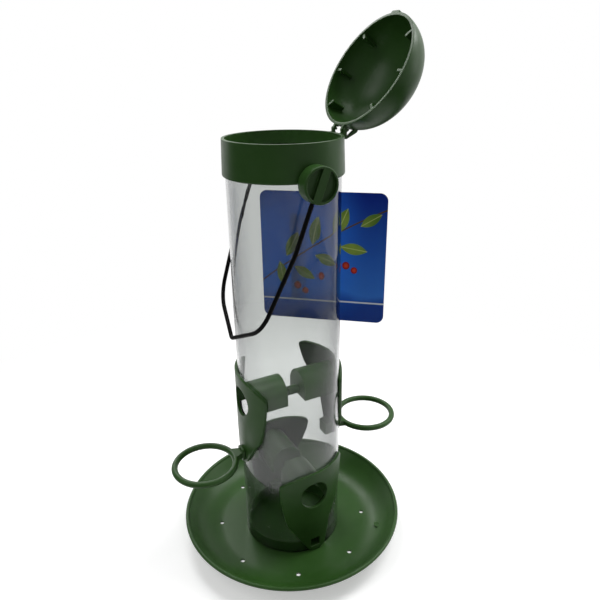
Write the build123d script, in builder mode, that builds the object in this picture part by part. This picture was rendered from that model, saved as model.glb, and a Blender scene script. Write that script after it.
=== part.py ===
from build123d import *
import os
from math import atan2, cos, degrees, radians, sin, sqrt, tan

# Hanging tube bird feeder standing on its seed tray.
# Millimetres, +Z up, origin at the middle of the tray's underside.
# -Y is the lower front port, +X the side of the lid hinge.

# Clearances
PUSH_FIT = 0.1
RUNNING_FIT = 0.05
MOVING_GAP = 0.4

# Clear seed tube
TUBE_OD = 80.0
TUBE_WALL = 1.6
TUBE_LENGTH = 318.5

# Seed tray
TRAY_OD = 183.6
TRAY_HEIGHT = 20.2
TRAY_WALL = 1.6
TRAY_BEND_RADIUS = 30.0
TRAY_WALL_SLOPE = 48.0
TRAY_BEAD_D = 3.0
SPIGOT_HEIGHT = 10.0
SPIGOT_WALL = 2.0
SPIGOT_NOTCH_GAP = 1.0
DRAIN_D = 3.6
DRAIN_CIRCLE_D = 124.0
DRAIN_COUNT = 8
GATE_D = 6.0
GATE_HEIGHT = 0.7
GATE_DIMPLE_D = 3.0
GATE_DIMPLE_DEPTH = 0.5
GATE_CIRCLE_D = 150.0
GATE_ANGLE = -38.7

# Feeding ports: shield outside the tube, hood and perch socket inside it
PORT_HOLE_D = 23.6
PORT_PITCH = 77.0
PORT_FOOT_GAP = 1.0
SHIELD_WALL = 2.2
SHIELD_TOP = 20.8
SHIELD_HORN_ANGLE = 49.0
SHIELD_HORN_RISE = 1.2
SHIELD_HORN_BOW = 3.4
SHIELD_NECK_REACH = 14.2
SHIELD_NECK_DROP = 29.0
SHIELD_FOOT_REACH = 9.0
SHIELD_SHOULDER_REACH = 26.3
SHIELD_SHOULDER = 10.2
SHIELD_SIDE_BOW = 1.2
SHIELD_WAIST_REACH = 21.4
SHIELD_WAIST_DROP = 28.5
SHIELD_TOE_REACH = 6.0
SHIELD_TIP_DROP = 53.5
SHIELD_POINT = 2.5
SHIELD_CORNER = 3.0
SHIELD_EDGE_FILLET = 0.5
HOOD_WALL = 1.4
HOOD_DROP = 8.0
HOOD_END = 7.5
LINK_DROP = 3.0
LINK_PEG_D = 5.0
LINK_PEG_REACH = 12.5
LINK_RIB_D = 6.2
LINK_RIB_LENGTH = 1.2
LINK_RIB_PITCH = 2.2
LINK_RIBS = 2
LINK_SOCKET_D = 7.4
LINK_SOCKET_LENGTH = 9.0
PERCH_DROP = 48.0
SOCKET_WIDTH = 8.0
SOCKET_WALL = 1.2
SOCKET_DEPTH = 9.0

# Ring perches
RING_D = 47.0
RING_BAR_D = 4.8
PERCH_NECK_LENGTH = 8.2
PERCH_NECK_WIDTH = 6.4
PERCH_ROOT_WIDTH = 12.0
PERCH_NECK_HEIGHT = 4.8
PERCH_FLANGE_WIDTH = 10.0
PERCH_FLANGE_THICKNESS = 2.0
PERCH_PLUG_LENGTH = 7.5

# Collar
COLLAR_HEIGHT = 24.7
COLLAR_LAP = 15.0
COLLAR_WALL = 2.1
COLLAR_STOP = 0.8
COLLAR_EDGE_FILLET = 1.4
PIVOT_ABOVE_COLLAR_EDGE = 0.5
BOSS_D = 18.0
BOSS_STAND = 1.2

# Lid and its hinge
LID_OVERHANG = 0.7
LID_GAP = 0.3
LID_HEIGHT = 34.2
LID_SHOULDER_SHARE = 0.88
LID_WALL = 2.0
LID_OPEN_ANGLE = 121.7
LID_RIBS_PER_SIDE = 3
LID_RIB_STEP = 45.0
LID_RIB_THICKNESS = 2.0
LID_RIB_DEPTH = 5.8
LID_RIB_HEIGHT = 11.0
LID_RIB_INSET = 0.8
TAB_WIDTH = 9.0
TAB_REACH = 1.4
TAB_THICKNESS = 2.2
TAB_CORNER = 1.0
HINGE_OUT = 2.1
HINGE_UP = 2.1
HINGE_PEG_D = 1.8
HINGE_PEG_SPARE = 0.6
LUG_WIDTH = 2.4
LUG_THICKNESS = 1.6
LUG_HEIGHT = 8.0
LUG_ROOT = 1.4
EAR_SPACING = 8.8
EAR_THICKNESS = 2.2
EAR_WALL = 1.0
EAR_BELLY_OUT = 2.6
EAR_BELLY_UP = 3.6
EAR_BELLY_R = 2.4
EAR_TOP_IN = 4.1
EAR_TOP_UP = 8.5
EAR_TOP_R = 2.0
SLOT_BELLY_OUT = 2.1
SLOT_BELLY_UP = 3.7
SLOT_BELLY_R = 1.4
SLOT_TOP_IN = 3.6
SLOT_TOP_UP = 6.0
SLOT_TOP_R = 1.3

# Hanging bail and its turning knobs
WIRE_D = 3.0
BAIL_LENGTH = 124.0
BAIL_STRAIGHT = 46.0
BAIL_SHOULDER_LENGTH = 103.4
BAIL_SHOULDER_WIDTH = 76.4
BAIL_KNEE_RADIUS = 40.0
BAIL_SHOULDER_RADIUS = 28.0
BAIL_TIP_RADIUS = 4.0
BAIL_LEAN = 21.5
WIRE_START = 4.0
KNOB_D = 24.0
KNOB_THICKNESS = 9.7
KNOB_RIM = 1.5
KNOB_RECESS = 2.6
KNOB_BAR_WIDTH = 5.6
KNOB_FILLET = 0.7
AXLE_D = 6.0
AXLE_HEAD_D = 7.4
AXLE_HEAD_LENGTH = 2.4
AXLE_HEAD_TIP_D = 5.4
AXLE_SPLIT = 1.4
AXLE_SPLIT_DEPTH = 7.0
AXLE_HOLE_GAP = 1.0

# Shop card behind the tube
CARD_WIDTH = 100.0
CARD_HEIGHT = 106.0
CARD_THICKNESS = 0.8
CARD_CORNER = 6.0
CARD_ANGLE = 50.0
CARD_SHIFT = 19.5
CARD_BELOW_COLLAR = 20.5
PAD_THICKNESS = 1.2
PAD_WIDTH = 12.0
PAD_HEIGHT = 70.0

# Worked-out radii and heights
tube_r = TUBE_OD / 2
tube_bore_r = tube_r - TUBE_WALL
floor_z = TRAY_WALL
tube_top_z = floor_z + TUBE_LENGTH
spigot_r = tube_bore_r - PUSH_FIT

shield_in_r = tube_r + PUSH_FIT
shield_out_r = shield_in_r + SHIELD_WALL
hole_r = PORT_HOLE_D / 2
hood_r = hole_r + HOOD_WALL
socket_box = SOCKET_WIDTH + 2 * SOCKET_WALL
lower_port_z = floor_z + PORT_FOOT_GAP + SHIELD_TIP_DROP + SHIELD_POINT
upper_port_z = lower_port_z + PORT_PITCH

collar_fit_r = tube_r + PUSH_FIT
collar_mouth_r = tube_r - COLLAR_STOP
collar_top_r = collar_mouth_r + COLLAR_WALL
collar_edge_r = collar_fit_r + COLLAR_WALL
collar_edge_z = tube_top_z - COLLAR_LAP
collar_top_z = collar_edge_z + COLLAR_HEIGHT

pivot_z = collar_edge_z + PIVOT_ABOVE_COLLAR_EDGE
boss_face = collar_edge_r + BOSS_STAND
knob_in = boss_face + MOVING_GAP
knob_out = knob_in + KNOB_THICKNESS
wire_y = knob_in + KNOB_THICKNESS / 2
axle_r = AXLE_D / 2
axle_head_in = tube_bore_r - MOVING_GAP - AXLE_HEAD_LENGTH

lid_r = collar_top_r + LID_OVERHANG
lid_z = collar_top_z + LID_GAP
shoulder_r = LID_SHOULDER_SHARE * LID_HEIGHT
shoulder_x = lid_r - shoulder_r
crown_r = (shoulder_x**2 + LID_HEIGHT**2 - shoulder_r**2) / (2 * (LID_HEIGHT - shoulder_r))
crown_drop = crown_r - LID_HEIGHT
crown_angle = degrees(atan2(crown_drop, shoulder_x))
hinge_x = lid_r + HINGE_OUT
hinge_z = collar_top_z + HINGE_UP
ear_in = EAR_SPACING / 2
lug_in = ear_in + EAR_THICKNESS + MOVING_GAP
lug_middle = lug_in + LUG_THICKNESS / 2
slot_r = HINGE_PEG_D / 2 + RUNNING_FIT
ear_r = slot_r + EAR_WALL
hinge_axis = Axis((hinge_x, 0, hinge_z), (0, 1, 0))


# A plane on the tube's axis that faces outwards at an angle from the front
def facing_plane(angle, height):
    turn = radians(angle)
    return Plane(
        origin=(0, 0, height),
        x_dir=(cos(turn), sin(turn), 0),
        z_dir=(sin(turn), -cos(turn), 0),
    )


FRONT = 0
RIGHT = 90
REAR = 180
LEFT = 270
lower_planes = [facing_plane(FRONT, lower_port_z), facing_plane(REAR, lower_port_z)]
upper_planes = [facing_plane(LEFT, upper_port_z), facing_plane(RIGHT, upper_port_z)]


def finish(part, name):
    part.label = name
    export_step(part, f"parts/{name}.step")


os.makedirs("parts", exist_ok=True)

# Tray: dish with a rolled rim and a notched spigot inside the tube
slope = radians(TRAY_WALL_SLOPE)
bead_r = TRAY_BEAD_D / 2
bead_x = TRAY_OD / 2 - bead_r
bead_z = TRAY_HEIGHT - bead_r
bend_mid_r = TRAY_BEND_RADIUS + TRAY_WALL / 2
wall_rise = bead_z - TRAY_WALL / 2 - bend_mid_r * (1 - cos(slope))
floor_r = bead_x - bend_mid_r * sin(slope) - wall_rise / tan(slope)
bend_z = floor_z + TRAY_BEND_RADIUS
wall_dx = sin(slope) * TRAY_WALL / 2
wall_dz = cos(slope) * TRAY_WALL / 2
gate_r = GATE_CIRCLE_D / 2
gate_run = max(gate_r - floor_r, 0)
gate_z = bend_z - sqrt(TRAY_BEND_RADIUS**2 - gate_run**2)
gate_turn = radians(GATE_ANGLE)

with BuildPart() as tray:
    with BuildSketch(Plane.XZ):
        with BuildLine():
            Line((0, floor_z), (floor_r, floor_z))
            inner_bend = CenterArc((floor_r, bend_z), TRAY_BEND_RADIUS, -90, TRAY_WALL_SLOPE)
            Line(inner_bend @ 1, (bead_x - wall_dx, bead_z + wall_dz))
            Line((bead_x - wall_dx, bead_z + wall_dz), (bead_x + wall_dx, bead_z - wall_dz))
            outer_bend = CenterArc((floor_r, bend_z), TRAY_BEND_RADIUS + TRAY_WALL, -90, TRAY_WALL_SLOPE)
            Line((bead_x + wall_dx, bead_z - wall_dz), outer_bend @ 1)
            Polyline((floor_r, 0), (0, 0), (0, floor_z))
        make_face()
        with Locations((bead_x, bead_z)):
            Circle(bead_r)
    revolve(axis=Axis.Z)
    with BuildSketch(Plane.XY.offset(floor_z / 2)):
        Circle(spigot_r)
        Circle(spigot_r - SPIGOT_WALL, mode=Mode.SUBTRACT)
    extrude(amount=floor_z / 2 + SPIGOT_HEIGHT)
    with BuildSketch(Plane.XY.offset(floor_z)):
        with PolarLocations(spigot_r, len(lower_planes), start_angle=90):
            Rectangle(4 * SPIGOT_WALL, socket_box + 2 * SPIGOT_NOTCH_GAP)
    extrude(amount=SPIGOT_HEIGHT, mode=Mode.SUBTRACT)
    with BuildSketch(Plane.XY):
        with PolarLocations(DRAIN_CIRCLE_D / 2, DRAIN_COUNT, start_angle=180 / DRAIN_COUNT):
            Circle(DRAIN_D / 2)
    extrude(amount=TRAY_HEIGHT, mode=Mode.SUBTRACT)
    with BuildSketch(Plane.XY.offset(gate_z)):
        with Locations((gate_r * cos(gate_turn), gate_r * sin(gate_turn))):
            Circle(GATE_D / 2)
    extrude(amount=GATE_HEIGHT)
    with BuildSketch(Plane.XY.offset(gate_z + GATE_HEIGHT)):
        with Locations((gate_r * cos(gate_turn), gate_r * sin(gate_turn))):
            Circle(GATE_DIMPLE_D / 2)
    extrude(amount=-GATE_DIMPLE_DEPTH, mode=Mode.SUBTRACT)
finish(tray.part, "tray")

# Tube: clear sleeve cut for the four ports and the two knob axles
with BuildPart() as tube:
    with BuildSketch(Plane.XY.offset(floor_z)):
        Circle(tube_r)
        Circle(tube_bore_r, mode=Mode.SUBTRACT)
    extrude(amount=TUBE_LENGTH)
    for port_plane in lower_planes + upper_planes:
        with BuildSketch(port_plane):
            Circle(hood_r + PUSH_FIT)
            Rectangle(2 * (hood_r + PUSH_FIT), HOOD_DROP + PUSH_FIT, align=(Align.CENTER, Align.MAX))
            with Locations((0, -PERCH_DROP)):
                Rectangle(socket_box + 2 * PUSH_FIT, socket_box + 2 * PUSH_FIT)
        extrude(amount=TUBE_OD, mode=Mode.SUBTRACT)
    with BuildSketch(Plane.XZ):
        with Locations((0, pivot_z)):
            Circle(axle_r + AXLE_HOLE_GAP)
    extrude(amount=TUBE_OD, both=True, mode=Mode.SUBTRACT)
finish(tube.part, "tube")


# Leaf-shaped shield wrapped on the tube, drawn at the front: a raised horn on one side, a low shoulder on the
# other, and the holes for feeding and for the perch
def make_shield(horn_side):
    port_plane = facing_plane(FRONT, lower_port_z)
    horn_reach = shield_out_r * sin(radians(SHIELD_HORN_ANGLE))
    horn_z = SHIELD_TOP + SHIELD_HORN_RISE
    horn = (horn_side * horn_reach, horn_z)
    horn_belly = (
        horn_side * ((horn_reach + SHIELD_NECK_REACH) / 2 + SHIELD_HORN_BOW),
        (horn_z - SHIELD_NECK_DROP) / 2,
    )
    neck = (horn_side * SHIELD_NECK_REACH, -SHIELD_NECK_DROP)
    foot = (horn_side * SHIELD_FOOT_REACH, -SHIELD_TIP_DROP)
    tip_point = (0, -SHIELD_TIP_DROP - SHIELD_POINT)
    toe = (-horn_side * SHIELD_TOE_REACH, -SHIELD_TIP_DROP)
    waist = (-horn_side * SHIELD_WAIST_REACH, -SHIELD_WAIST_DROP)
    side_belly = (
        -horn_side * ((SHIELD_SHOULDER_REACH + SHIELD_WAIST_REACH) / 2 + SHIELD_SIDE_BOW),
        (SHIELD_SHOULDER - SHIELD_WAIST_DROP) / 2,
    )
    shoulder = (-horn_side * SHIELD_SHOULDER_REACH, SHIELD_SHOULDER)
    middle = (0, SHIELD_TOP)
    with BuildPart() as shield:
        with BuildSketch(port_plane) as outline:
            with BuildLine():
                Line(horn, middle)
                TangentArc(middle, shoulder, tangent=(-horn_side * horn_reach, -SHIELD_HORN_RISE))
                ThreePointArc(shoulder, side_belly, waist)
                Line(waist, toe)
                ThreePointArc(toe, tip_point, foot)
                Line(foot, neck)
                ThreePointArc(neck, horn_belly, horn)
            make_face()
            smooth_point = port_plane.from_local_coords((0, SHIELD_TOP, 0))
            fillet(outline.vertices().sort_by_distance(smooth_point)[1:], SHIELD_CORNER)
            Circle(hole_r, mode=Mode.SUBTRACT)
            with Locations((0, -PERCH_DROP)):
                Rectangle(SOCKET_WIDTH, SOCKET_WIDTH, mode=Mode.SUBTRACT)
        extrude(amount=shield_out_r + SHIELD_WALL)
        with BuildSketch(Plane.XY):
            Circle(shield_out_r)
            Circle(shield_in_r, mode=Mode.SUBTRACT)
        extrude(amount=tube_top_z, mode=Mode.INTERSECT)
        outer_face = shield.faces().filter_by(GeomType.CYLINDER).sort_by(SortBy.AREA)[-1]
        fillet(outer_face.outer_wire().edges(), SHIELD_EDGE_FILLET)
    return shield.part


# Inverted channel that keeps seed from pouring out, and the box that holds a perch
def make_hood(port_plane):
    with BuildPart() as hood:
        with BuildSketch(port_plane.offset(HOOD_END)):
            Circle(hood_r)
            Rectangle(2 * hood_r, hood_r, align=(Align.CENTER, Align.MAX), mode=Mode.SUBTRACT)
            Rectangle(2 * hood_r, HOOD_DROP, align=(Align.CENTER, Align.MAX))
        extrude(amount=shield_out_r)
        with BuildSketch(port_plane.offset(HOOD_END + HOOD_WALL)):
            Circle(hole_r)
            Rectangle(2 * hole_r, HOOD_DROP, align=(Align.CENTER, Align.MAX))
        extrude(amount=shield_out_r, mode=Mode.SUBTRACT)
        with BuildSketch(port_plane.offset(shield_in_r - SOCKET_DEPTH)):
            with Locations((0, -PERCH_DROP)):
                Rectangle(socket_box, socket_box)
        extrude(amount=SOCKET_DEPTH + SHIELD_WALL)
        with BuildSketch(port_plane.offset(shield_in_r - SOCKET_DEPTH + SOCKET_WALL)):
            with Locations((0, -PERCH_DROP)):
                Rectangle(SOCKET_WIDTH, SOCKET_WIDTH)
        extrude(amount=SOCKET_DEPTH + SHIELD_WALL, mode=Mode.SUBTRACT)
        with BuildSketch(Plane.XY):
            Circle(shield_in_r + SHIELD_WALL / 2)
        extrude(amount=tube_top_z, mode=Mode.INTERSECT)
    return hood.part


# Ribbed peg of one port, which pushes into the tube of the port opposite
def make_link_peg(port_plane):
    with BuildPart() as peg:
        with BuildSketch(port_plane.offset(HOOD_END)):
            with Locations((0, -LINK_DROP)):
                Circle(LINK_PEG_D / 2)
        extrude(amount=-LINK_PEG_REACH)
        for rib in range(LINK_RIBS):
            with BuildSketch(port_plane.offset(HOOD_END - (rib + 0.5) * LINK_RIB_PITCH)):
                with Locations((0, -LINK_DROP)):
                    Circle(LINK_RIB_D / 2)
            extrude(amount=-LINK_RIB_LENGTH)
    return peg.part


def make_link_tube(port_plane):
    with BuildPart() as link_tube:
        with BuildSketch(port_plane.offset(HOOD_END)):
            with Locations((0, -LINK_DROP)):
                Circle(LINK_SOCKET_D / 2)
                Circle(LINK_PEG_D / 2 + PUSH_FIT, mode=Mode.SUBTRACT)
        extrude(amount=-LINK_SOCKET_LENGTH)
    return link_tube.part


shield_horn_right = make_shield(1)
shield_horn_left = make_shield(-1)


def make_port(name, angle, height, front_shield, make_link):
    port_plane = facing_plane(angle, height)
    shield = front_shield.rotate(Axis.Z, angle).moved(Pos(0, 0, height - lower_port_z))
    hood = make_hood(port_plane)
    link = make_link(port_plane)
    with BuildPart() as port:
        add(shield)
        add(hood)
        add(link)
    finish(port.part, name)


make_port("port_lower_front", FRONT, lower_port_z, shield_horn_right, make_link_peg)
make_port("port_lower_rear", REAR, lower_port_z, shield_horn_left, make_link_tube)
make_port("port_upper_left", LEFT, upper_port_z, shield_horn_left, make_link_peg)
make_port("port_upper_right", RIGHT, upper_port_z, shield_horn_right, make_link_tube)


# Ring perch: a plug in the port's socket, a flange, a neck and a landing ring
def make_perch(name, port_plane):
    flange_face = shield_out_r + PUSH_FIT
    root_distance = shield_out_r + PERCH_NECK_LENGTH
    ring_distance = root_distance + RING_D / 2
    plug_width = SOCKET_WIDTH - 2 * PUSH_FIT
    perch_z = port_plane.origin.Z - PERCH_DROP
    outward = port_plane.z_dir
    with BuildPart() as perch:
        with BuildSketch(port_plane.offset(flange_face)):
            with Locations((0, -PERCH_DROP)):
                Rectangle(plug_width, plug_width)
        extrude(amount=-PERCH_PLUG_LENGTH)
        with BuildSketch(port_plane.offset(flange_face)):
            with Locations((0, -PERCH_DROP)):
                RectangleRounded(PERCH_FLANGE_WIDTH, PERCH_FLANGE_WIDTH, PERCH_FLANGE_THICKNESS)
        extrude(amount=PERCH_FLANGE_THICKNESS)
        with BuildSketch(Plane(origin=(0, 0, perch_z), x_dir=outward)):
            with BuildLine():
                Polyline(
                    (flange_face, -PERCH_NECK_WIDTH / 2),
                    (root_distance, -PERCH_ROOT_WIDTH / 2),
                    (root_distance, PERCH_ROOT_WIDTH / 2),
                    (flange_face, PERCH_NECK_WIDTH / 2),
                    close=True,
                )
            make_face()
        extrude(amount=PERCH_NECK_HEIGHT / 2, both=True)
        with Locations((ring_distance * outward.X, ring_distance * outward.Y, perch_z)):
            Torus(RING_D / 2, RING_BAR_D / 2)
    finish(perch.part, name)


make_perch("perch_left", upper_planes[0])
make_perch("perch_right", upper_planes[1])

# Collar: sleeve over the tube's top, with knob bosses and hinge lugs
with BuildPart() as collar:
    with BuildSketch(Plane.XZ):
        with BuildLine():
            Polyline(
                (collar_fit_r, collar_edge_z),
                (collar_edge_r, collar_edge_z),
                (collar_top_r, collar_top_z),
                (collar_mouth_r, collar_top_z),
                (collar_mouth_r, tube_top_z),
                (collar_fit_r, tube_top_z),
                close=True,
            )
        make_face()
    revolve(axis=Axis.Z)
    edge_ring = collar.edges().filter_by(GeomType.CIRCLE).group_by(Axis.Z)[0].sort_by(SortBy.RADIUS)[-1]
    fillet(edge_ring, COLLAR_EDGE_FILLET)
    with BuildSketch(Plane.XZ):
        with Locations((0, pivot_z)):
            Circle(BOSS_D / 2)
    extrude(amount=boss_face, both=True)
    with BuildSketch(Plane.XY.offset(tube_top_z)):
        Circle(collar_fit_r)
    extrude(amount=-COLLAR_LAP - BOSS_D, mode=Mode.SUBTRACT)
    with BuildSketch(Plane.XZ):
        with Locations((0, pivot_z)):
            Circle(axle_r + RUNNING_FIT)
    extrude(amount=boss_face, both=True, mode=Mode.SUBTRACT)
    lug_r = LUG_WIDTH / 2
    for side in (-1, 1):
        with BuildSketch(Plane.XZ.offset(side * lug_middle)):
            with BuildLine():
                Polyline(
                    (collar_top_r - LUG_ROOT, collar_top_z - LUG_HEIGHT),
                    (hinge_x + lug_r, collar_top_z - LUG_WIDTH),
                    (hinge_x + lug_r, hinge_z),
                    (hinge_x - lug_r, hinge_z),
                    (hinge_x - lug_r, collar_top_z),
                    (collar_top_r - LUG_ROOT, collar_top_z),
                    close=True,
                )
            make_face()
            with Locations((hinge_x, hinge_z)):
                Circle(lug_r)
        extrude(amount=LUG_THICKNESS / 2, both=True)
        with BuildSketch(Plane.XZ.offset(side * lug_middle)):
            with Locations((hinge_x, hinge_z)):
                Circle(HINGE_PEG_D / 2)
        peg_length = LUG_THICKNESS / 2 + MOVING_GAP + EAR_THICKNESS + HINGE_PEG_SPARE
        extrude(amount=-side * peg_length)
finish(collar.part, "collar")

# Lid: a dome of a shoulder arc and a crown arc, drawn shut and then turned open about the hinge
def make_dome(inset):
    with BuildPart() as dome:
        with BuildSketch(Plane.XZ):
            with BuildLine():
                shoulder = CenterArc((shoulder_x, lid_z), shoulder_r - inset, 0, crown_angle)
                crown = CenterArc((0, lid_z - crown_drop), crown_r - inset, crown_angle, 90 - crown_angle)
                Polyline(crown @ 1, (0, lid_z), shoulder @ 0)
            make_face()
        revolve(axis=Axis.Z)
    return dome.part


with BuildPart() as lid_ribs:
    for first in (LID_RIB_STEP, 180 + LID_RIB_STEP):
        with BuildSketch(Plane.XY.offset(lid_z + LID_RIB_INSET)):
            with PolarLocations(
                lid_r - (LID_WALL + LID_RIB_DEPTH) / 2,
                LID_RIBS_PER_SIDE,
                start_angle=first,
                angular_range=LID_RIBS_PER_SIDE * LID_RIB_STEP,
            ):
                Rectangle(LID_WALL + LID_RIB_DEPTH, LID_RIB_THICKNESS)
        extrude(amount=LID_RIB_HEIGHT)
    add(make_dome(LID_WALL / 2), mode=Mode.INTERSECT)

# Two hinge loops, each with a slot that is narrow at the peg
with BuildPart() as lid_ears:
    for ear_start in (ear_in, -ear_in - EAR_THICKNESS):
        with BuildSketch(Plane.XZ.offset(ear_start)):
            with Locations((hinge_x, hinge_z), (hinge_x - EAR_TOP_IN, hinge_z)):
                Circle(ear_r)
            with Locations((hinge_x + EAR_BELLY_OUT, hinge_z + EAR_BELLY_UP)):
                Circle(EAR_BELLY_R)
            with Locations((hinge_x - EAR_TOP_IN, hinge_z + EAR_TOP_UP)):
                Circle(EAR_TOP_R)
            make_hull()
        extrude(amount=EAR_THICKNESS)
        with BuildSketch(Plane.XZ.offset(ear_start)):
            with Locations((hinge_x, hinge_z)):
                Circle(slot_r)
            with Locations((hinge_x + SLOT_BELLY_OUT, hinge_z + SLOT_BELLY_UP)):
                Circle(SLOT_BELLY_R)
            with Locations((hinge_x - SLOT_TOP_IN, hinge_z + SLOT_TOP_UP)):
                Circle(SLOT_TOP_R)
            make_hull()
        extrude(amount=EAR_THICKNESS, mode=Mode.SUBTRACT)
    with BuildSketch(Plane.XY.offset(lid_z)):
        Circle(2 * lid_r)
    extrude(amount=-ear_r, mode=Mode.SUBTRACT)

with BuildPart() as lid_shut:
    add(make_dome(0))
    add(lid_ears.part)
    with BuildSketch(Plane.XY.offset(lid_z)):
        with Locations((-lid_r, 0)):
            RectangleRounded(2 * TAB_REACH, TAB_WIDTH, TAB_CORNER)
    extrude(amount=TAB_THICKNESS)
    add(make_dome(LID_WALL), mode=Mode.SUBTRACT)
    add(lid_ribs.part)
with BuildPart() as lid:
    add(lid_shut.part.rotate(hinge_axis, LID_OPEN_ANGLE))
finish(lid.part, "lid")

# Bail: bent wire in a plane that leans out from the tube, hung between the knobs
lean = radians(BAIL_LEAN)
wire_run = Vector(-sin(lean), 0, -cos(lean))
bail_plane = Plane(origin=(0, 0, pivot_z), x_dir=(0, 1, 0), z_dir=(-cos(lean), 0, sin(lean)))
shoulder_y = BAIL_SHOULDER_WIDTH / 2

with BuildPart() as bail_wire:
    with BuildLine(bail_plane) as wire_path:
        FilletPolyline(
            (-wire_y, WIRE_START),
            (-wire_y, BAIL_STRAIGHT),
            (-shoulder_y, BAIL_SHOULDER_LENGTH),
            (0, BAIL_LENGTH),
            (shoulder_y, BAIL_SHOULDER_LENGTH),
            (wire_y, BAIL_STRAIGHT),
            (wire_y, WIRE_START),
            radius=[
                BAIL_KNEE_RADIUS,
                BAIL_SHOULDER_RADIUS,
                BAIL_TIP_RADIUS,
                BAIL_SHOULDER_RADIUS,
                BAIL_KNEE_RADIUS,
            ],
        )
    with BuildSketch(Plane(origin=wire_path.line @ 0, z_dir=wire_path.line % 0)):
        Circle(WIRE_D / 2)
    sweep(path=wire_path.line)
finish(bail_wire.part, "bail_wire")


# Knob: cupped disc with a grip bar in line with the wire, and a split snap axle
def make_knob(name, side):
    knob_plane = Plane(origin=(0, 0, pivot_z), x_dir=wire_run, z_dir=(0, side, 0))
    head_in_plane = knob_plane.offset(axle_head_in)
    with BuildPart() as knob:
        with BuildSketch(knob_plane.offset(knob_in)):
            Circle(KNOB_D / 2)
        extrude(amount=KNOB_THICKNESS)
        fillet(knob.edges().filter_by(GeomType.CIRCLE), KNOB_FILLET)
        with BuildSketch(knob_plane.offset(knob_out)):
            Circle(KNOB_D / 2 - KNOB_RIM)
            Rectangle(KNOB_D, KNOB_BAR_WIDTH, mode=Mode.SUBTRACT)
        extrude(amount=-KNOB_RECESS, mode=Mode.SUBTRACT)
        with BuildSketch(head_in_plane):
            Circle(axle_r)
        extrude(amount=knob_in - axle_head_in)
        with BuildSketch(head_in_plane):
            Circle(AXLE_HEAD_TIP_D / 2)
        with BuildSketch(knob_plane.offset(axle_head_in + AXLE_HEAD_LENGTH)):
            Circle(AXLE_HEAD_D / 2)
        loft()
        with BuildSketch(head_in_plane):
            Rectangle(AXLE_SPLIT, KNOB_D)
        extrude(amount=AXLE_SPLIT_DEPTH, mode=Mode.SUBTRACT)
        wire_bore = Plane(origin=Vector(0, side * wire_y, pivot_z) + wire_run * WIRE_START, z_dir=wire_run)
        with BuildSketch(wire_bore):
            Circle(WIRE_D / 2 + RUNNING_FIT)
        extrude(amount=KNOB_D, mode=Mode.SUBTRACT)
    finish(knob.part, name)


make_knob("knob_front", -1)
make_knob("knob_rear", 1)

# Card stuck to the back of the tube with a clear adhesive pad
card_turn = radians(CARD_ANGLE)
card_face = tube_r + PAD_THICKNESS
card_z = collar_edge_z - CARD_BELOW_COLLAR - CARD_HEIGHT / 2
card_plane = Plane(
    origin=(0, 0, card_z),
    x_dir=(-sin(card_turn), cos(card_turn), 0),
    z_dir=(cos(card_turn), sin(card_turn), 0),
)

with BuildPart() as info_card:
    with BuildSketch(card_plane.offset(card_face)):
        with Locations((-CARD_SHIFT, 0)):
            RectangleRounded(CARD_WIDTH, CARD_HEIGHT, CARD_CORNER)
    extrude(amount=CARD_THICKNESS)
finish(info_card.part, "info_card")

with BuildPart() as card_pad:
    with BuildSketch(card_plane.offset(card_face)):
        Rectangle(PAD_WIDTH, PAD_HEIGHT)
    extrude(amount=-2 * PAD_THICKNESS)
    with BuildSketch(Plane.XY):
        Circle(tube_r + RUNNING_FIT)
    extrude(amount=tube_top_z, mode=Mode.SUBTRACT)
finish(card_pad.part, "card_pad")
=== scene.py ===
import math

import bpy
from mathutils import Matrix, Vector


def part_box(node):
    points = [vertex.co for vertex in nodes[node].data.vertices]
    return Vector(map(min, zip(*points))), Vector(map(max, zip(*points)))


# Looks of a hanging tube bird feeder: moulded green plastic, clear tube, black wire, printed card.
# Metres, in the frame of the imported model. Colours are linear red, green, blue and alpha.

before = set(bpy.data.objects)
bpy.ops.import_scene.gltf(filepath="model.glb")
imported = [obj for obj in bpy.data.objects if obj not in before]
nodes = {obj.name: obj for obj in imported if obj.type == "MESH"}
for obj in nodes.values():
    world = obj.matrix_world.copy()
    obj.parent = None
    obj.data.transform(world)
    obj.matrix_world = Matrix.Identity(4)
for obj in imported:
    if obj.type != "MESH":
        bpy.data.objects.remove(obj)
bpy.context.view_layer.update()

MM = 0.001
WHITE = (1.0, 1.0, 1.0, 1.0)
BLACK = (0.0, 0.0, 0.0, 1.0)
UPWARD = (0.0, 0.0, 1.0)

# Camera, fitted to the photograph's viewing angle: angles in degrees, lens and sensor in millimetres.
# A camera that looks level is tilted up by CAMERA_LEVEL.
CAMERA_PLACE = (-0.17384, -0.35642, 0.37638)
CAMERA_HEADING = -27.43
CAMERA_DOWN = 22.67
CAMERA_ROLL = -0.894
CAMERA_LENS = 34.375
CAMERA_SENSOR = 36.0
CAMERA_LEVEL = 90.0
MATRIX_SIZE = 4

# Room: level that lights dull surfaces, the levels that glossy ones mirror on the left and on the right,
# and the part of the room from left to right over which these change
ROOM_LIGHT = 0.26
ROOM_SHEEN_DARK = 0.10
ROOM_SHEEN_PALE = 0.70
ROOM_TURN = (-0.7, 0.9)

# White backdrop behind the object: where it fades in from its sides, and where it ends at its top
BACKDROP_SIDE = (0.35, 0.55)
BACKDROP_TOP = (0.60, 0.50)

# Floor: dull with a shadow nearer than FLOOR_NEAR, plain white further out than FLOOR_FAR.
# FLOOR_GLOW is the white that it adds near the object, where the camera or a reflection sees it.
FLOOR_HALF = 0.75
FLOOR_COLOUR = (0.7, 0.7, 0.7, 1.0)
FLOOR_ROUGHNESS = 0.9
FLOOR_GLOW = 0.40
FLOOR_NEAR = 0.26
FLOOR_FAR = 0.50

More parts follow.
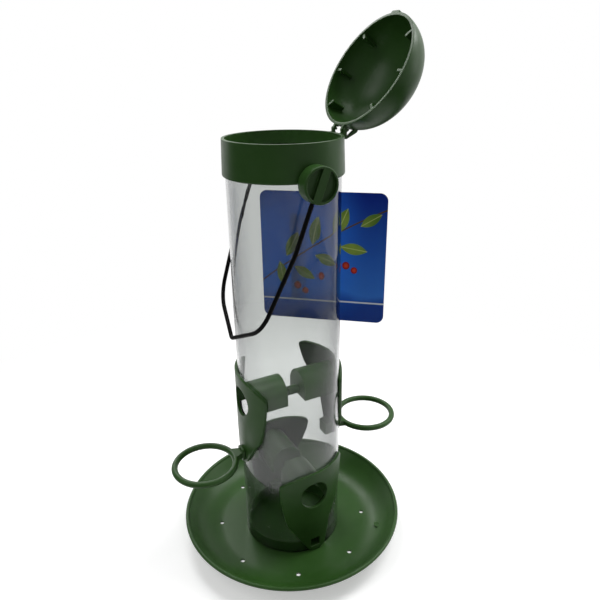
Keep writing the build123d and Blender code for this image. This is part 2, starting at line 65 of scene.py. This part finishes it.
# Each panel: metres to the right of the object and behind it as the camera sees them, height, watts
PANEL_SIZE = (0.45, 1.2)
PANEL_AIM = (0.0, 0.0, 0.18)
PANELS = {
    "front_left": (-0.80, -0.40, 1.08, 4.6),
    "side_right": (1.05, 0.20, 0.73, 2.5),
    "back_left": (-0.40, 0.80, 1.20, 10.0),
    "top_right": (0.62, 0.28, 1.20, 12.5),
}

# Every noise below is given as scale, detail and roughness. A mottle turns from its first look to its second
# where the noise goes from MOTTLE_FROM to MOTTLE_TO. All bumps have the same depth.
MOTTLE_FROM = 0.30
MOTTLE_TO = 0.70
NOISE_MIDDLE = 0.5
BUMP_DEPTH = 0.1 * MM

# Green plastic
GREEN_DARK = (0.0200, 0.0610, 0.0105, 1.0)
GREEN_PALE = (0.0270, 0.0770, 0.0150, 1.0)
GREEN_EDGE_HIGHLIGHT = (0.085, 0.150, 0.060, 1.0)
GREEN_ROUGHNESS = (0.29, 0.43)
GREEN_SPECULAR = 0.22
GREEN_MOTTLE_NOISE = (22.0, 5.0, 0.6)
GREEN_POLISH_NOISE = (70.0, 6.0, 0.65)
GREEN_HIGHLIGHT_PATCH_NOISE = (160.0, 3.0, 0.5)
GREEN_GRAIN_NOISE = (1500.0, 3.0, 0.5)
GREEN_GRAIN_BUMP = 0.10
# Painted edge highlight, a paler colour along the edges in patches: radius, samples, cosines of the lean
# that shows an edge, and noise values of the patches where it shows
EDGE_RADIUS = 0.7 * MM
EDGE_SAMPLES = 6
EDGE_LEAN = (0.985, 0.86)
EDGE_HIGHLIGHT_PATCHES = (0.25, 0.75)
GREEN_NODES = (
    "tray",
    "collar",
    "lid",
    "port_lower_front",
    "port_lower_rear",
    "port_upper_left",
    "port_upper_right",
    "perch_left",
    "perch_right",
    "knob_front",
    "knob_rear",
)

# Clear tube: tints seen square on and at a slant, with the slants between which the tint changes
TUBE_TINT = (0.69, 0.705, 0.695, 1.0)
TUBE_EDGE_TINT = (0.46, 0.465, 0.47, 1.0)
TUBE_SLANT = (0.22, 0.75)
TUBE_IOR = 1.31
TUBE_ROUGHNESS = (0.005, 0.025)
TUBE_HAZE_NOISE = (35.0, 5.0, 0.6)
TUBE_LINE_NOISE = (1.0, 3.0, 0.5)
TUBE_LINE_STRETCH = (260.0, 260.0, 3.0)
TUBE_LINE_BUMP = 0.03
# Share of the lamps' light that falls through the tube low down and high up, and the heights between them
TUBE_LAMP_LOW = (0.10, 0.10, 0.10, 1.0)
TUBE_LAMP_HIGH = (0.95, 0.955, 0.95, 1.0)
TUBE_LAMP_HEIGHTS = (0.14, 0.20)
# Thin film of seed dust round the lower ports: how clear the tube is there, and where the film fades
TUBE_DUST_CLEAR = (0.91, 0.94)
TUBE_DUST_TOP = (0.140, 0.095)
TUBE_DUST_FOOT = (0.050, 0.075)

# Clear adhesive pad
PAD_LEVELS = (0.55, 0.70)
PAD_NOISE = (140.0, 4.0, 0.5)
PAD_ROUGHNESS = 0.3
PAD_ALPHA = 0.03

# Black coating of the wire
WIRE_LEVELS = (0.0010, 0.0025)
WIRE_NOISE = (300.0, 3.0, 0.5)
WIRE_ROUGHNESS = (0.40, 0.56)
WIRE_WEAR_NOISE = (220.0, 4.0, 0.5)
WIRE_GRAIN_NOISE = (1800.0, 2.0, 0.5)
WIRE_GRAIN_BUMP = 0.15
WIRE_SPECULAR = 0.06

# Card: direction that its back looks in, in degrees, shift of its middle to the right, and width.
# CARD_FACING is where a side counts as the printed face.
CARD_ANGLE = 50.0
CARD_SHIFT = 19.5 * MM
CARD_WIDTH = 100.0 * MM
CARD_FACING = (0.4, 0.6)
CARD_PRINT_ROUGHNESS = 0.34
CARD_BOARD_ROUGHNESS = 0.75
CARD_SPECULAR = 0.12
CARD_GRAIN_NOISE = (900.0, 3.0, 0.5)
CARD_GRAIN_BUMP = 0.05
BOARD_DARK = (0.52, 0.51, 0.48, 1.0)
BOARD_PALE = (0.64, 0.63, 0.60, 1.0)
BOARD_NOISE = (420.0, 5.0, 0.7)

# Print on the card. Places and sizes run from 0 to 1, across the card and up it.
# Blue ground: height and colour, with a drift that makes the heights uneven
GROUND = (
    (0.00, (0.008, 0.038, 0.230, 1.0)),
    (0.16, (0.009, 0.046, 0.270, 1.0)),
    (0.24, (0.032, 0.150, 0.540, 1.0)),
    (0.55, (0.018, 0.095, 0.430, 1.0)),
    (1.00, (0.004, 0.026, 0.270, 1.0)),
)
GROUND_DRIFT = 0.25
GROUND_NOISE = (18.0, 2.0, 0.5)
# Painted light: a brighter blue field on the left of the card, where it is seen through the tube. Where it
# fades in from the right, its middle height, its fade up and down
PAINTED_LIGHT_COLOUR = (0.020, 0.170, 0.800, 1.0)
PAINTED_LIGHT_ACROSS = (0.86, 0.50)
PAINTED_LIGHT_MIDDLE = 0.58
PAINTED_LIGHT_REACH = (0.66, 0.15)
PAINTED_LIGHT_SHARE = 0.85
# Stem of the sprig: height at the left edge, slope, bow, half width, share of it that is fully inked
STEM_HEIGHT = 0.30
STEM_SLOPE = 0.58
STEM_BOW = 0.16
STEM_HALF = 0.008
STEM_CORE = 0.6
STEM_COLOUR = (0.095, 0.060, 0.022, 1.0)
# Leaves: across, up, half length, half width, turn in degrees; fades at the edge and beside the vein
LEAVES = (
    (0.17, 0.36, 0.105, 0.045, 100),
    (0.26, 0.60, 0.110, 0.050, 62),
    (0.36, 0.38, 0.100, 0.042, -28),
    (0.45, 0.71, 0.115, 0.050, 78),
    (0.55, 0.49, 0.110, 0.046, -18),
    (0.66, 0.79, 0.105, 0.048, 66),
    (0.75, 0.58, 0.110, 0.046, -8),
    (0.88, 0.80, 0.095, 0.042, 30),
)
LEAF_DARK = (0.075, 0.170, 0.020, 1.0)
LEAF_PALE = (0.230, 0.330, 0.060, 1.0)
LEAF_NOISE = (45.0, 3.0, 0.5)
LEAF_EDGE = (1.0, 0.9)
VEIN_COLOUR = (0.42, 0.50, 0.16, 1.0)
VEIN_EDGE = (0.03, 0.10)
# Berries: across, up, radius; shares of the radius at which the edge is full and the shading ends
BERRIES = (
    (0.300, 0.275, 0.034),
    (0.365, 0.235, 0.030),
    (0.500, 0.360, 0.034),
    (0.690, 0.450, 0.032),
    (0.755, 0.415, 0.028),
)
BERRY_RIM = (0.160, 0.008, 0.006, 1.0)
BERRY_MIDDLE = (0.520, 0.045, 0.020, 1.0)
BERRY_EDGE = 0.88
BERRY_SHADE = 0.2
# Pale band: fades in at its lower edge and out at its upper one
BAND_COLOUR = (0.62, 0.66, 0.70, 1.0)
BAND_LOWER = (0.150, 0.154)
BAND_UPPER = (0.166, 0.162)

# Places of the colour sockets on a mix node, and of the shader sockets on a mix of shaders
MIX_FIRST = 6
MIX_SECOND = 7
MIX_RESULT = 2
SHADER_FIRST = 1
SHADER_SECOND = 2


def grey(level):
    return (level, level, level, 1.0)


class Shader:
    """A node tree with a short way to add nodes and link them."""

    def __init__(self, tree, output_kind):
        self.tree = tree
        tree.nodes.clear()
        self.output = self.add(output_kind)

    def add(self, kind, **values):
        node = self.tree.nodes.new("ShaderNode" + kind)
        for key, value in values.items():
            setattr(node, key, value)
        return node

    def link(self, source, target):
        self.tree.links.new(source, target)

    def show(self, surface):
        """Make a shader the tree's result, in place of an earlier one."""
        self.link(surface, self.output.inputs["Surface"])

    def feed(self, socket, value):
        """Link a socket to another one, or set it to a plain value."""
        if isinstance(value, bpy.types.NodeSocket):
            self.link(value, socket)
        else:
            socket.default_value = value

    def math(self, operation, first, second=0.0):
        node = self.add("Math", operation=operation)
        self.feed(node.inputs[0], first)
        self.feed(node.inputs[1], second)
        return node.outputs["Value"]

    def plus(self, first, second):
        return self.math("ADD", first, second)

    def minus(self, first, second):
        return self.math("SUBTRACT", first, second)

    def times(self, first, second):
        return self.math("MULTIPLY", first, second)

    def over(self, first, second):
        return self.math("DIVIDE", first, second)

    def larger(self, first, second):
        return self.math("MAXIMUM", first, second)

    def unsigned(self, value):
        return self.math("ABSOLUTE", value)

    def dot(self, first, second):
        node = self.add("VectorMath", operation="DOT_PRODUCT")
        self.feed(node.inputs[0], first)
        self.feed(node.inputs[1], second)
        return node.outputs["Value"]

    def length(self, vector):
        node = self.add("VectorMath", operation="LENGTH")
        self.link(vector, node.inputs[0])
        return node.outputs["Value"]

    def height(self, vector):
        node = self.add("SeparateXYZ")
        self.link(vector, node.inputs["Vector"])
        return node.outputs["Z"]

    def fade(self, value, start, end):
        """0 at start, 1 at end, smooth between."""
        node = self.add("MapRange", interpolation_type="SMOOTHSTEP")
        self.feed(node.inputs["Value"], value)
        node.inputs["From Min"].default_value = start
        node.inputs["From Max"].default_value = end
        return node.outputs["Result"]

    def mix(self, factor, first, second):
        node = self.add("Mix", data_type="RGBA")
        self.feed(node.inputs["Factor"], factor)
        self.feed(node.inputs[MIX_FIRST], first)
        self.feed(node.inputs[MIX_SECOND], second)
        return node.outputs[MIX_RESULT]

    def ramp(self, factor, *stops):
        """Colours at positions between 0 and 1, each stop a position and a colour."""
        node = self.add("ValToRGB")
        elements = node.color_ramp.elements
        while len(elements) < len(stops):
            elements.new(stops[len(elements) - 1][0])
        for element, (position, colour) in zip(elements, stops):
            element.position = position
            element.color = colour
        self.link(factor, node.inputs["Fac"])
        return node.outputs["Color"]

    def place(self, output="Object"):
        return self.add("TexCoord").outputs[output]

    def noise(self, scale, detail, roughness, stretch=None):
        texture = self.add("TexNoise")
        texture.inputs["Scale"].default_value = scale
        texture.inputs["Detail"].default_value = detail
        texture.inputs["Roughness"].default_value = roughness
        vector = self.place()
        if stretch is not None:
            mapping = self.add("Mapping")
            mapping.inputs["Scale"].default_value = stretch
            self.link(vector, mapping.inputs["Vector"])
            vector = mapping.outputs["Vector"]
        self.link(vector, texture.inputs["Vector"])
        return texture.outputs["Fac"]

    def mottle(self, noise, first, second):
        """Patches of two colours."""
        return self.ramp(self.noise(*noise), (MOTTLE_FROM, first), (MOTTLE_TO, second))

    def grey_mottle(self, noise, levels):
        """Patches of two levels of grey, or of two values of a plain socket."""
        first, second = levels
        return self.mottle(noise, grey(first), grey(second))

    def bump(self, height, strength, normal=None):
        node = self.add("Bump")
        node.inputs["Strength"].default_value = strength
        node.inputs["Distance"].default_value = BUMP_DEPTH
        self.link(height, node.inputs["Height"])
        if normal is not None:
            self.link(normal, node.inputs["Normal"])
        return node.outputs["Normal"]


def new_material(name):
    material = bpy.data.materials.new(name)
    material.use_nodes = True
    shader = Shader(material.node_tree, "OutputMaterial")
    surface = shader.add("BsdfPrincipled")
    shader.show(surface.outputs["BSDF"])
    return material, shader, surface


def green_plastic():
    """Satin moulded plastic: slight mottling, fine grain, and a painted highlight of paler colour along the
    edges.
    """
    material, shader, surface = new_material("green_plastic")
    colour = shader.mottle(GREEN_MOTTLE_NOISE, GREEN_DARK, GREEN_PALE)
    soft_edge = shader.add("Bevel", samples=EDGE_SAMPLES)
    soft_edge.inputs["Radius"].default_value = EDGE_RADIUS
    soft_normal = soft_edge.outputs["Normal"]
    flat_normal = shader.add("NewGeometry").outputs["True Normal"]
    edge = shader.fade(shader.dot(soft_normal, flat_normal), *EDGE_LEAN)
    highlight_patches = shader.fade(shader.noise(*GREEN_HIGHLIGHT_PATCH_NOISE), *EDGE_HIGHLIGHT_PATCHES)
    painted_edge_highlight = shader.times(edge, highlight_patches)
    # The paler colour along the edges, shown in noise patches, is a painted highlight.
    shader.link(shader.mix(painted_edge_highlight, colour, GREEN_EDGE_HIGHLIGHT), surface.inputs["Base Color"])
    polish = shader.grey_mottle(GREEN_POLISH_NOISE, GREEN_ROUGHNESS)
    shader.link(polish, surface.inputs["Roughness"])
    grain = shader.noise(*GREEN_GRAIN_NOISE)
    shader.link(shader.bump(grain, GREEN_GRAIN_BUMP, soft_normal), surface.inputs["Normal"])
    surface.inputs["Specular IOR Level"].default_value = GREEN_SPECULAR
    return material


def clear_tube():
    """Clear extruded tube: grey tint that deepens at a slant, upright draw lines, a little haze and dust."""
    material, shader, surface = new_material("clear_tube")
    slant = shader.add("LayerWeight").outputs["Facing"]
    square_on, at_slant = TUBE_SLANT
    tint = shader.ramp(slant, (square_on, TUBE_TINT), (at_slant, TUBE_EDGE_TINT))
    shader.link(tint, surface.inputs["Base Color"])
    surface.inputs["IOR"].default_value = TUBE_IOR
    haze = shader.grey_mottle(TUBE_HAZE_NOISE, TUBE_ROUGHNESS)
    shader.link(haze, surface.inputs["Roughness"])
    lines = shader.noise(*TUBE_LINE_NOISE, TUBE_LINE_STRETCH)
    shader.link(shader.bump(lines, TUBE_LINE_BUMP), surface.inputs["Normal"])

    height = shader.height(shader.place())
    dusty = shader.times(shader.fade(height, *TUBE_DUST_TOP), shader.fade(height, *TUBE_DUST_FOOT))
    film = shader.grey_mottle(TUBE_HAZE_NOISE, TUBE_DUST_CLEAR)
    shader.link(shader.mix(dusty, WHITE, film), surface.inputs["Transmission Weight"])

    lamp_side = shader.add("BsdfTransparent")
    upper = shader.fade(height, *TUBE_LAMP_HEIGHTS)
    let_through = shader.ramp(upper, (0.0, TUBE_LAMP_LOW), (1.0, TUBE_LAMP_HIGH))
    shader.link(let_through, lamp_side.inputs["Color"])
    either = shader.add("MixShader")
    shader.link(shader.add("LightPath").outputs["Is Shadow Ray"], either.inputs["Fac"])
    shader.link(surface.outputs["BSDF"], either.inputs[SHADER_FIRST])
    shader.link(lamp_side.outputs["BSDF"], either.inputs[SHADER_SECOND])
    shader.show(either.outputs["Shader"])
    return material


def clear_adhesive():
    """Soft clear pad with a faint mottle, nearly unseen."""
    material, shader, surface = new_material("clear_adhesive")
    shader.link(shader.grey_mottle(PAD_NOISE, PAD_LEVELS), surface.inputs["Base Color"])
    surface.inputs["Roughness"].default_value = PAD_ROUGHNESS
    surface.inputs["Alpha"].default_value = PAD_ALPHA
    return material


def black_coating():
    """Satin black coating with a fine grain and uneven polish."""
    material, shader, surface = new_material("black_coating")
    shader.link(shader.grey_mottle(WIRE_NOISE, WIRE_LEVELS), surface.inputs["Base Color"])
    shader.link(shader.grey_mottle(WIRE_WEAR_NOISE, WIRE_ROUGHNESS), surface.inputs["Roughness"])
    grain = shader.noise(*WIRE_GRAIN_NOISE)
    shader.link(shader.bump(grain, WIRE_GRAIN_BUMP), surface.inputs["Normal"])
    surface.inputs["Specular IOR Level"].default_value = WIRE_SPECULAR
    return material


def print_ground(shader, across, up):
    """Blue ground of the print, with a brighter field of painted light on its left."""
    uneven = shader.minus(shader.noise(*GROUND_NOISE), NOISE_MIDDLE)
    ground = shader.ramp(shader.plus(up, shader.times(uneven, GROUND_DRIFT)), *GROUND)
    from_middle = shader.unsigned(shader.minus(up, PAINTED_LIGHT_MIDDLE))
    # Painted light: a brighter field on the left, where the card lies behind the tube.
    painted_light = shader.times(shader.fade(across, *PAINTED_LIGHT_ACROSS), shader.fade(from_middle, *PAINTED_LIGHT_REACH))
    return shader.mix(shader.times(painted_light, PAINTED_LIGHT_SHARE), ground, PAINTED_LIGHT_COLOUR)


def stem_mask(shader, across, up):
    """1 on the stem: a sloping line that bows upward between the card's sides."""
    bow = shader.times(shader.times(across, shader.minus(1.0, across)), STEM_BOW)
    line = shader.plus(shader.plus(shader.times(across, STEM_SLOPE), STEM_HEIGHT), bow)
    away = shader.unsigned(shader.minus(up, line))
    return shader.fade(away, STEM_HALF, STEM_CORE * STEM_HALF)


def leaf_mask(shader, across, up, leaf):
    """1 on a pointed leaf, and 0 on its vein."""
    x, y, half_length, half_width, turn = leaf
    cosine = math.cos(math.radians(turn))
    sine = math.sin(math.radians(turn))
    dx = shader.minus(across, x)
    dy = shader.minus(up, y)
    along = shader.plus(shader.times(dx, cosine), shader.times(dy, sine))
    aside = shader.minus(shader.times(dy, cosine), shader.times(dx, sine))
    reach = shader.over(along, half_length)
    width = shader.unsigned(shader.over(aside, half_width))
    body = shader.fade(shader.plus(shader.times(reach, reach), width), *LEAF_EDGE)
    off_vein = shader.fade(width, *VEIN_EDGE)
    return body, off_vein


def berry_mask(shader, across, up, berry):
    """1 on a berry, and a value that grows from its rim to its middle."""
    x, y, radius = berry
    dx = shader.minus(across, x)
    dy = shader.minus(up, y)
    square = shader.plus(shader.times(dx, dx), shader.times(dy, dy))
    away = shader.math("SQRT", square)
    return shader.fade(away, radius, BERRY_EDGE * radius), shader.fade(away, radius, BERRY_SHADE * radius)


def card_print():
    """Glossy blue card with a printed sprig in front, bare board behind."""
    material, shader, surface = new_material("card_print")
    turn = math.radians(CARD_ANGLE)
    face = (-math.cos(turn), -math.sin(turn), 0.0)
    sideways = (math.sin(turn), -math.cos(turn), 0.0)
    low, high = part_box("info_card")
    position = shader.place()
    from_left = shader.minus(shader.dot(position, sideways), CARD_SHIFT - CARD_WIDTH / 2)
    across = shader.over(from_left, CARD_WIDTH)
    up = shader.over(shader.minus(shader.height(position), low[2]), high[2] - low[2])

    colour = print_ground(shader, across, up)
    colour = shader.mix(stem_mask(shader, across, up), colour, STEM_COLOUR)
    leaf_colour = shader.mottle(LEAF_NOISE, LEAF_DARK, LEAF_PALE)
    for leaf in LEAVES:
        body, off_vein = leaf_mask(shader, across, up, leaf)
        colour = shader.mix(body, colour, shader.mix(off_vein, VEIN_COLOUR, leaf_colour))
    for berry in BERRIES:
        body, middle = berry_mask(shader, across, up, berry)
        colour = shader.mix(body, colour, shader.mix(middle, BERRY_RIM, BERRY_MIDDLE))
    band = shader.times(shader.fade(up, *BAND_LOWER), shader.fade(up, *BAND_UPPER))
    colour = shader.mix(band, colour, BAND_COLOUR)

    board = shader.mottle(BOARD_NOISE, BOARD_DARK, BOARD_PALE)
    facing = shader.fade(shader.dot(shader.place("Normal"), face), *CARD_FACING)
    shader.link(shader.mix(facing, board, colour), surface.inputs["Base Color"])
    gloss = shader.ramp(facing, (0.0, grey(CARD_BOARD_ROUGHNESS)), (1.0, grey(CARD_PRINT_ROUGHNESS)))
    shader.link(gloss, surface.inputs["Roughness"])
    grain = shader.noise(*CARD_GRAIN_NOISE)
    shader.link(shader.bump(grain, CARD_GRAIN_BUMP), surface.inputs["Normal"])
    surface.inputs["Specular IOR Level"].default_value = CARD_SPECULAR
    return material


def dress(node_name, material):
    mesh = nodes[node_name].data
    mesh.materials.clear()
    mesh.materials.append(material)


def camera_right():
    turn = math.radians(CAMERA_HEADING)
    return Vector((math.cos(turn), math.sin(turn), 0.0))


def camera_ahead():
    right = camera_right()
    return Vector((-right.y, right.x, 0.0))


def seen_straight(shader, path):
    """1 for what the camera sees, also through glass."""
    return shader.larger(path.outputs["Is Camera Ray"], path.outputs["Is Transmission Ray"])


def make_world():
    """White backdrop, also where it is mirrored; round it a dim room that is paler on the right."""
    world = bpy.data.worlds.new("studio")
    world.use_nodes = True
    shader = Shader(world.node_tree, "OutputWorld")
    path = shader.add("LightPath")
    direction = shader.place("Generated")
    side = shader.fade(shader.dot(direction, tuple(camera_right())), *ROOM_TURN)
    sheen = shader.ramp(side, (0.0, grey(ROOM_SHEEN_DARK)), (1.0, grey(ROOM_SHEEN_PALE)))
    behind = shader.fade(shader.dot(direction, tuple(camera_ahead())), *BACKDROP_SIDE)
    low = shader.fade(shader.dot(direction, UPWARD), *BACKDROP_TOP)
    sheen = shader.mix(shader.times(behind, low), sheen, WHITE)
    room = shader.mix(path.outputs["Is Glossy Ray"], grey(ROOM_LIGHT), sheen)
    background = shader.add("Background")
    shader.link(shader.mix(seen_straight(shader, path), room, WHITE), background.inputs["Color"])
    shader.show(background.outputs["Background"])
    bpy.context.scene.world = world


def floor_material():
    """Pale and dull near the object, so that it takes the shadow; further out as white as the backdrop."""
    material, shader, surface = new_material("pale_floor")
    near = shader.fade(shader.length(shader.place()), FLOOR_FAR, FLOOR_NEAR)
    shader.link(shader.mix(near, BLACK, FLOOR_COLOUR), surface.inputs["Base Color"])
    surface.inputs["Roughness"].default_value = FLOOR_ROUGHNESS
    surface.inputs["Specular IOR Level"].default_value = 0.0
    surface.inputs["Emission Color"].default_value = WHITE
    path = shader.add("LightPath")
    plain = shader.minus(1.0, shader.times(near, 1.0 - FLOOR_GLOW))
    seen = shader.times(seen_straight(shader, path), plain)
    mirrored = shader.times(shader.times(near, FLOOR_GLOW), path.outputs["Is Glossy Ray"])
    shader.link(shader.larger(seen, mirrored), surface.inputs["Emission Strength"])
    return material


def make_floor():
    mesh = bpy.data.meshes.new("floor")
    corners = [
        (-FLOOR_HALF, -FLOOR_HALF, 0),
        (FLOOR_HALF, -FLOOR_HALF, 0),
        (FLOOR_HALF, FLOOR_HALF, 0),
        (-FLOOR_HALF, FLOOR_HALF, 0),
    ]
    mesh.from_pydata(corners, [], [range(len(corners))])
    mesh.materials.append(floor_material())
    floor = bpy.data.objects.new("floor", mesh)
    bpy.context.scene.collection.objects.link(floor)


def add_panel(name, place, power):
    light = bpy.data.lights.new(name, "AREA")
    light.shape = "RECTANGLE"
    light.size, light.size_y = PANEL_SIZE
    light.energy = power
    lamp = bpy.data.objects.new(name, light)
    lamp.location = place
    aim = Vector(PANEL_AIM) - place
    lamp.rotation_euler = aim.to_track_quat("-Z", "Y").to_euler()
    bpy.context.scene.collection.objects.link(lamp)


def make_lights():
    for name, (sideways, behind, height, power) in PANELS.items():
        place = sideways * camera_right() + behind * camera_ahead() + height * Vector(UPWARD)
        add_panel(name, place, power)


def turned(degrees, axis):
    return Matrix.Rotation(math.radians(degrees), MATRIX_SIZE, axis)


def make_camera():
    data = bpy.data.cameras.new("camera")
    data.sensor_width = CAMERA_SENSOR
    data.lens = CAMERA_LENS
    camera = bpy.data.objects.new("camera", data)
    heading = turned(CAMERA_HEADING, "Z")
    tilt = turned(CAMERA_LEVEL - CAMERA_DOWN, "X")
    roll = turned(CAMERA_ROLL, "Z")
    camera.matrix_world = Matrix.Translation(CAMERA_PLACE) @ heading @ tilt @ roll
    bpy.context.scene.collection.objects.link(camera)
    bpy.context.scene.camera = camera


green = green_plastic()
for name in GREEN_NODES:
    dress(name, green)
dress("tube", clear_tube())
dress("card_pad", clear_adhesive())
dress("bail_wire", black_coating())
dress("info_card", card_print())

make_world()
make_floor()
make_lights()
make_camera()

bpy.context.scene.view_settings.view_transform = "Standard"
